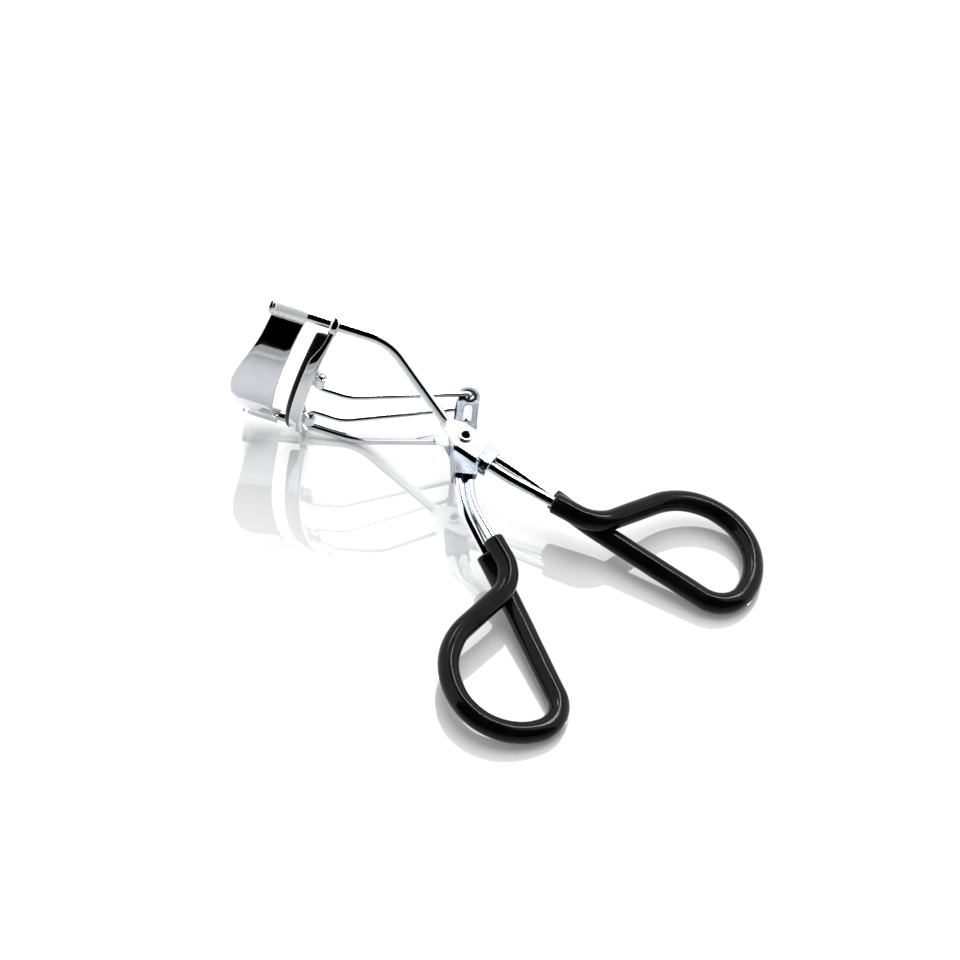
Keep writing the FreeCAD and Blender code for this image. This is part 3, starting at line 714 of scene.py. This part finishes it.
def softened(node, name, finish, cut_at=None):
    """A copy of a CAD node with its stamped edges rounded over; cut_at ends it along the handle."""
    source = frame["nodes"][node]
    bm = bmesh.new()
    bm.from_mesh(source.data)
    bmesh.ops.remove_doubles(bm, verts=bm.verts, dist=0.002 * MM)
    if cut_at is not None:
        way = handle_point("fixed", 1, 0)
        cut = bmesh.ops.bisect_plane(bm, geom=bm.verts[:] + bm.edges[:] + bm.faces[:],
                                     plane_co=way * cut_at * MM, plane_no=way, clear_outer=True)
        rim = [e for e in cut["geom_cut"] if isinstance(e, bmesh.types.BMEdge)]
        bmesh.ops.holes_fill(bm, edges=rim)
    bmesh.ops.dissolve_limit(bm, angle_limit=math.radians(1.0), verts=bm.verts, edges=bm.edges)
    mesh = bpy.data.meshes.new(name)
    bm.to_mesh(mesh)
    bm.free()
    obj = settle(name, mesh, source["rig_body"], "plated_steel", [node])
    mesh.materials[0] = MATERIALS[finish]
    bevel = obj.modifiers.new("rolled_edges", "BEVEL")
    bevel.width = BRACKET_EDGE * MM
    bevel.segments = 3
    bevel.limit_method = "ANGLE"
    bevel.angle_limit = math.radians(35)
    normals = obj.modifiers.new("even_shading", "WEIGHTED_NORMAL")
    normals.keep_sharp = False


softened("frame_bracket", "frame_bracket_stamping", "plated_steel", LEAF_END)
# painted shade: the lever bracket gets the darkened satin tone, for the grey its leaves show in
# reflection
softened("lever_bracket", "lever_bracket_stamping", "satin_painted_shade_steel")


def rib_rows(face):
    """The pressed rib that stiffens the lug: a long dome on one of its faces."""
    line = Vector((-LUG[0], -LUG[1], 0)).normalized()
    side = Vector((-line.y, line.x, 0))
    turns = [2 * math.pi * j / 28 for j in range(28)]
    rows = []
    for k in range(25):
        t = k / 24
        grow = math.sqrt(max(0.0, 1 - (2 * t - 1) ** 6)) * 0.97 + 0.03
        spot = line * (RIB_LENGTH * t - RIB_START) + Vector((0, 0, face * LUG_FACE))
        rows.append([spot + side * (RIB_HALF_WIDTH * grow * math.cos(a))
                     + Vector((0, 0, RIB_HEIGHT * grow * math.sin(a))) for a in turns])
    return rows


rim_outline = rounded([
    (LUG_RIM_BORE, 0, 0.1), (LUG_RIM_RADIUS, 0, 0.1), (LUG_RIM_RADIUS, LUG_RIM_HEIGHT, 0.14),
    (LUG_RIM_BORE, LUG_RIM_HEIGHT, 0.14)])
for face, end in ((1, "upper"), (-1, "lower")):
    skin(f"{end}_lug_rib", rib_rows(face), "lever", "plated_steel", ["lever_bracket"])
    rim = lathe(f"{end}_lug_rim", rim_outline, (*LUG, face * LUG_FACE), (0, 0, face),
                "lever", "plated_steel", ["lever_bracket"], count=40)
    # painted shade: the rim around the bail wire is near-black, standing in for the shade between the
    # bracket's leaves
    rim.data.materials[0] = MATERIALS["painted_shade_steel"]


def boxy(wave):
    """A sine or cosine pushed toward 1 or -1, which turns a circle into a rounded box."""
    return math.copysign(abs(wave) ** 0.3, wave)


def ferrule_ring(along, half_width, half_height):
    """A ring round the fixed handle's two wires. The lever swings past below the bracket's leaves,
    so between them the ring stands further back, the more the lower it reaches."""
    row = []
    for j in range(48):
        a = 2 * math.pi * j / 48
        outward = FERRULE_CENTRE + half_width * boxy(math.cos(a))
        height = half_height * boxy(math.sin(a))
        room = LEVER_ROOM_START + max(0.0, LEVER_ROOM_TOP - outward) * LEVER_ROOM_SLOPE
        place = along
        if abs(height) < LEVER_ROOM_HALF_HEIGHT and room > along:
            place = min(room, LEVER_ROOM_END + along * 0.02)
        row.append(handle_point("fixed", place, outward, height))
    return row


def ferrule_rows():
    """A collar that necks down from the bracket's leaves, runs straight, and turns its lip in."""
    (mouth_wide, mouth_high), (wide, high) = FERRULE_MOUTH_SIZE, FERRULE_NECK_SIZE
    rows = []
    for k in range(13):
        left = 1 - eased(k / 12)
        rows.append(ferrule_ring(FERRULE_START + (FERRULE_NECK - FERRULE_START) * k / 12,
                                 wide + (mouth_wide - wide) * left,
                                 high + (mouth_high - high) * left))
    for k in range(1, 5):
        rows.append(ferrule_ring(FERRULE_NECK + (FERRULE_END - FERRULE_NECK) * k / 4, wide, high))
    for k in range(1, 9):
        turn = math.pi * k / 8
        inset = FERRULE_WALL / 2 * (1 - math.cos(turn))
        rows.append(ferrule_ring(FERRULE_END + FERRULE_WALL / 2 * math.sin(turn), wide - inset,
                                 high - inset))
    rows.append(ferrule_ring(FERRULE_NECK - 0.05, wide - FERRULE_WALL, high - FERRULE_WALL))
    return rows


skin("frame_bracket_ferrule", ferrule_rows(), "frame", "plated_steel", ["frame_bracket"])


# ---------------------------------------------------------------- camera

# the photograph's viewing angle, matched to the object's outline in it
CAMERA_AIM = Vector((-4.92, 6.76, 0)) * MM
CAMERA_AZIMUTH = math.radians(4.567)
CAMERA_ELEVATION = math.radians(52.963)
CAMERA_ROLL = math.radians(21.047)
CAMERA_DISTANCE = 551.84 * MM

back = Vector((math.sin(CAMERA_AZIMUTH) * math.cos(CAMERA_ELEVATION),
               math.cos(CAMERA_AZIMUTH) * math.cos(CAMERA_ELEVATION),
               math.sin(CAMERA_ELEVATION)))
cam_data = bpy.data.cameras.new("photo_camera")
cam_data.sensor_width = 36
cam_data.lens = 112.35
cam_data.clip_start = 0.05
cam_data.clip_end = 20
camera = bpy.data.objects.new("photo_camera", cam_data)
bpy.context.scene.collection.objects.link(camera)
turn = back.to_track_quat("Z", "Y").to_matrix() @ Matrix.Rotation(CAMERA_ROLL, 3, "Z")
camera.matrix_world = Matrix.Translation(CAMERA_AIM + back * CAMERA_DISTANCE) @ turn.to_4x4()
bpy.context.scene.camera = camera


# ---------------------------------------------------------------- the table it rests on

FLOOR_HALF = 1.45


def lowest(names, normal):
    """The vertex of these CAD nodes that lies furthest against the normal."""
    spots = [v.co.copy() for name in names for v in frame["nodes"][name].data.vertices]
    return min(spots, key=lambda spot: spot.dot(normal))


# the plane through the lowest points of the jaws and of both loops, found in a few rounds
normal = Vector((0.14, 0, 0.99)).normalized()
for _ in range(6):
    a = lowest(["lower_rod_stop", "fixed_jaw_plate", "lower_guide_eye"], normal)
    b = lowest(["fixed_loop_grip"], normal)
    c = lowest(["lever_loop_grip"], normal)
    normal = (b - a).cross(c - a).normalized()
    if normal.z < 0:
        normal = -normal
rest = a - normal * 0.03 * MM
across = (Vector((1, 0, 0)) - normal * normal.x).normalized()
toward = normal.cross(across)


def studio_spot(x, y, z):
    """A place given from the spot where the object rests: across, toward the viewer, and up."""
    return rest + across * x + toward * y + normal * z


def staged(name, grid, mat):
    """A sheet of the studio through a grid of points."""
    bm = bmesh.new()
    rows = [[bm.verts.new(v) for v in row] for row in grid]
    for r, s in zip(rows, rows[1:]):
        for j in range(len(r) - 1):
            bm.faces.new((r[j], r[j + 1], s[j + 1], s[j]))
    mesh = bpy.data.meshes.new(name)
    bm.to_mesh(mesh)
    bm.free()
    mesh.materials.append(mat)
    obj = bpy.data.objects.new(name, mesh)
    bpy.context.scene.collection.objects.link(obj)
    return obj


mat, nodes, links, b = shader("floor")
pale = blended(nodes, links, noise(nodes, links, 0.05, 2.0), (0.92, 0.92, 0.925), (0.94, 0.94, 0.94))
links.new(pale, b.inputs["Base Color"])
b.inputs["Roughness"].default_value = 0.03
b.inputs["Metallic"].default_value = 0.32
floor_edges = (-FLOOR_HALF, FLOOR_HALF)
staged("floor", [[studio_spot(x, y, 0) for x in floor_edges] for y in floor_edges], mat)


# ---------------------------------------------------------------- studio light

def cyclorama(name, low, high, left, right, strength, radius=1.6, raised=0.0):
    """A curved glowing card that only reflections see, from elevation low to high and azimuth left
    to right, in degrees. Azimuth 0 is straight behind the object and positive turns toward +X,
    where the top edge climbs by raised."""
    mat, nodes, links, _ = shader(name)
    nodes.clear()
    glow = nodes.new("ShaderNodeEmission")
    glow.inputs["Color"].default_value = (1, 1, 1, 1)
    glow.inputs["Strength"].default_value = strength
    out = nodes.new("ShaderNodeOutputMaterial")
    links.new(glow.outputs[0], out.inputs["Surface"])
    grid = []
    for i in range(13):
        row = []
        for j in range(49):
            degrees = left + (right - left) * j / 48
            climb = raised * min(1.0, max(0.0, (degrees - 2) / 32))
            a, e = math.radians(degrees), math.radians(low + (high + climb - low) * i / 12)
            row.append(studio_spot(radius * math.sin(a) * math.cos(e),
                                   -radius * math.cos(a) * math.cos(e), radius * math.sin(e)))
        grid.append(row)
    obj = staged(name, grid, mat)
    obj.visible_camera = False
    obj.visible_diffuse = False
    obj.visible_shadow = False


cyclorama("white_backdrop", 0, 68, -96, 128, 1.3, raised=16)
cyclorama("left_strip", 55.5, 58.5, -52, -8, 42, radius=1.5)
cyclorama("right_strip", 55.5, 58.5, 20, 42, 30, radius=1.5)
cyclorama("low_reflector", 0, 6, 128, 264, 0.46)

# the world and the softbox light surfaces, and stay out of reflections, which see the cards
world = bpy.data.worlds.new("studio")
world.use_nodes = True
world.node_tree.nodes["Background"].inputs["Color"].default_value = (1, 1, 1, 1)
world.node_tree.nodes["Background"].inputs["Strength"].default_value = 0.9
bpy.context.scene.world = world
world.cycles_visibility.glossy = False

key = bpy.data.lights.new("key", "AREA")
key.shape = "DISK"
key.size = 1.2
key.energy = 16.0
softbox = bpy.data.objects.new("key", key)
bpy.context.scene.collection.objects.link(softbox)
place = studio_spot(-0.1, -0.35, 1.5)
facing = (place - rest).to_track_quat("Z", "Y").to_matrix().to_4x4()
softbox.matrix_world = Matrix.Translation(place) @ facing
softbox.visible_glossy = False
softbox.visible_camera = False
bpy.context.scene.view_settings.view_transform = "Standard"
